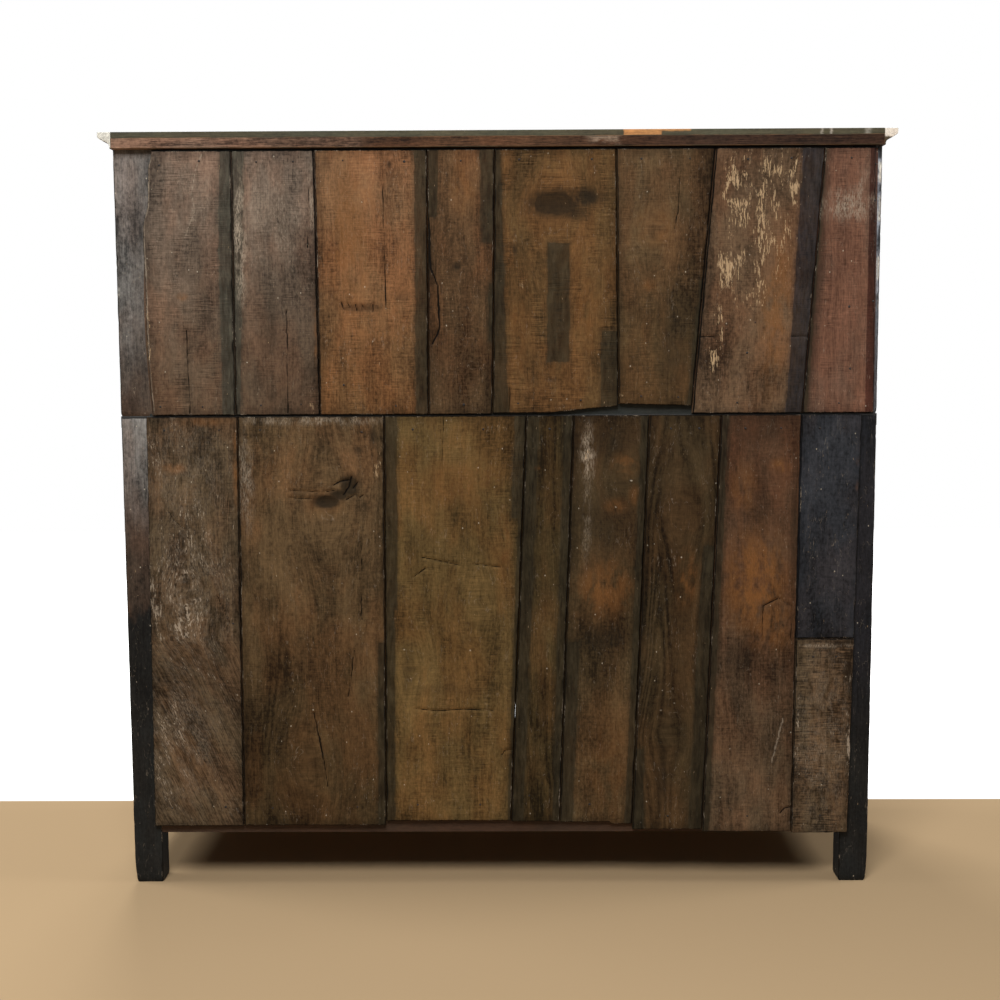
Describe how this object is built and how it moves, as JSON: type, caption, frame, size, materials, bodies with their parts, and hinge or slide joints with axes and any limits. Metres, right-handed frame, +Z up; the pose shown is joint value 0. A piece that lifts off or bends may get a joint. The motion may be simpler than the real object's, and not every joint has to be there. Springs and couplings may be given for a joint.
{
  "type": "court cupboard",
  "caption": "Joined oak cupboard in two stages: panelled doors, drawers, a recessed upper cupboard under a frieze with turned pendants, and nailed back boards.",
  "frame": {"origin": "on the floor, at the middle of the bounding box", "axes": "+Z up, the front with its doors faces -Y, the nailed back boards face +Y, +X to the right seen from the front"},
  "size_m": [1.656, 0.566, 1.608],
  "materials": {
    "front_oak": "waxed oak, dark brown, worn paler along its edges",
    "blackened_oak": "near black stained oak with scuffed corners",
    "inner_oak": "unfinished oak, dusty brown",
    "reddish_strip": "stained red-brown oak",
    "cornice_oak": "dark waxed oak with broken pale ends",
    "umber_boards": "rough unfinished oak, dull brown",
    "orange_boards": "rough unfinished oak, orange brown",
    "golden_boards": "rough unfinished oak, golden brown with pale flecks",
    "reddish_boards": "rough unfinished oak, red-brown",
    "slate_board": "dark blue-grey painted oak",
    "iron": "forged iron, blackened"
  },
  "bodies": {
    "case": {"rear_stile_left": "blackened_oak", "rear_stile_right": "blackened_oak", "front_stile_left": "front_oak", "front_stile_right": "front_oak", "lower_front_rails": "front_oak", "lower_muntins": "front_oak", "lower_rear_rails": "reddish_strip", "lower_side_rails": "front_oak", "lower_side_panels": "front_oak", "floor_boards": "inner_oak", "shelf": "inner_oak", "drawer_runners": "inner_oak", "ledge_boards": "front_oak", "upper_rear_stiles": "blackened_oak", "upper_front_stiles": "front_oak", "upper_front_frame": "front_oak", "centre_panel": "front_oak", "upper_rear_rails": "reddish_strip", "upper_side_rails": "front_oak", "upper_side_panels": "front_oak", "frieze_rail": "front_oak", "corner_posts": "front_oak", "pendants": "front_oak", "soffit_board": "inner_oak", "top_boards": "inner_oak", "cornice_front": "cornice_oak", "cornice_returns": "cornice_oak", "rear_strip": "reddish_strip", "hinge_plates": "iron", "upper_back_board_1": "umber_boards", "upper_back_board_2": "umber_boards", "upper_back_board_3": "orange_boards", "upper_back_board_4": "orange_boards", "upper_back_board_5": "golden_boards", "upper_back_board_6": "umber_boards", "upper_back_board_7": "golden_boards", "upper_back_board_8": "reddish_boards", "lower_back_board_1": "umber_boards", "lower_back_board_2": "umber_boards", "lower_back_board_3": "umber_boards", "lower_back_board_4": "golden_boards", "lower_back_board_5": "umber_boards", "lower_back_board_6": "umber_boards", "lower_back_board_7": "reddish_boards", "lower_back_board_8": "slate_board", "lower_back_patch": "umber_boards"},
    "lower_door_left": {"lower_door_left": "front_oak", "lower_door_left_panels": "front_oak", "lower_door_left_leaves": "iron"},
    "upper_door_left": {"upper_door_left": "front_oak", "upper_door_left_leaves": "iron"},
    "lower_door_right": {"lower_door_right": "front_oak", "lower_door_right_panels": "front_oak", "lower_door_right_leaves": "iron"},
    "upper_door_right": {"upper_door_right": "front_oak", "upper_door_right_leaves": "iron"},
    "drawer_left": {"drawer_left": "front_oak"},
    "drawer_middle": {"drawer_middle": "front_oak"},
    "drawer_right": {"drawer_right": "front_oak"}
  },
  "joints": [
    {"name": "lower_door_left_hinge", "type": "hinge", "parent": "case", "child": "lower_door_left", "pos_m": [-0.72425, -0.254, 0.4835], "axis": [0, 0, -1], "range_deg": [0, 115]},
    {"name": "lower_door_right_hinge", "type": "hinge", "parent": "case", "child": "lower_door_right", "pos_m": [0.72425, -0.254, 0.4835], "axis": [0, 0, 1], "range_deg": [0, 115]},
    {"name": "upper_door_left_hinge", "type": "hinge", "parent": "case", "child": "upper_door_left", "pos_m": [-0.73725, -0.114, 1.239], "axis": [0, 0, -1], "range_deg": [0, 90]},
    {"name": "upper_door_right_hinge", "type": "hinge", "parent": "case", "child": "upper_door_right", "pos_m": [0.73725, -0.114, 1.239], "axis": [0, 0, 1], "range_deg": [0, 90]},
    {"name": "drawer_left_slide", "type": "slide", "parent": "case", "child": "drawer_left", "axis": [0, -1, 0], "range_m": [0, 0.32]},
    {"name": "drawer_middle_slide", "type": "slide", "parent": "case", "child": "drawer_middle", "axis": [0, -1, 0], "range_m": [0, 0.32]},
    {"name": "drawer_right_slide", "type": "slide", "parent": "case", "child": "drawer_right", "axis": [0, -1, 0], "range_m": [0, 0.32]}
  ]
}
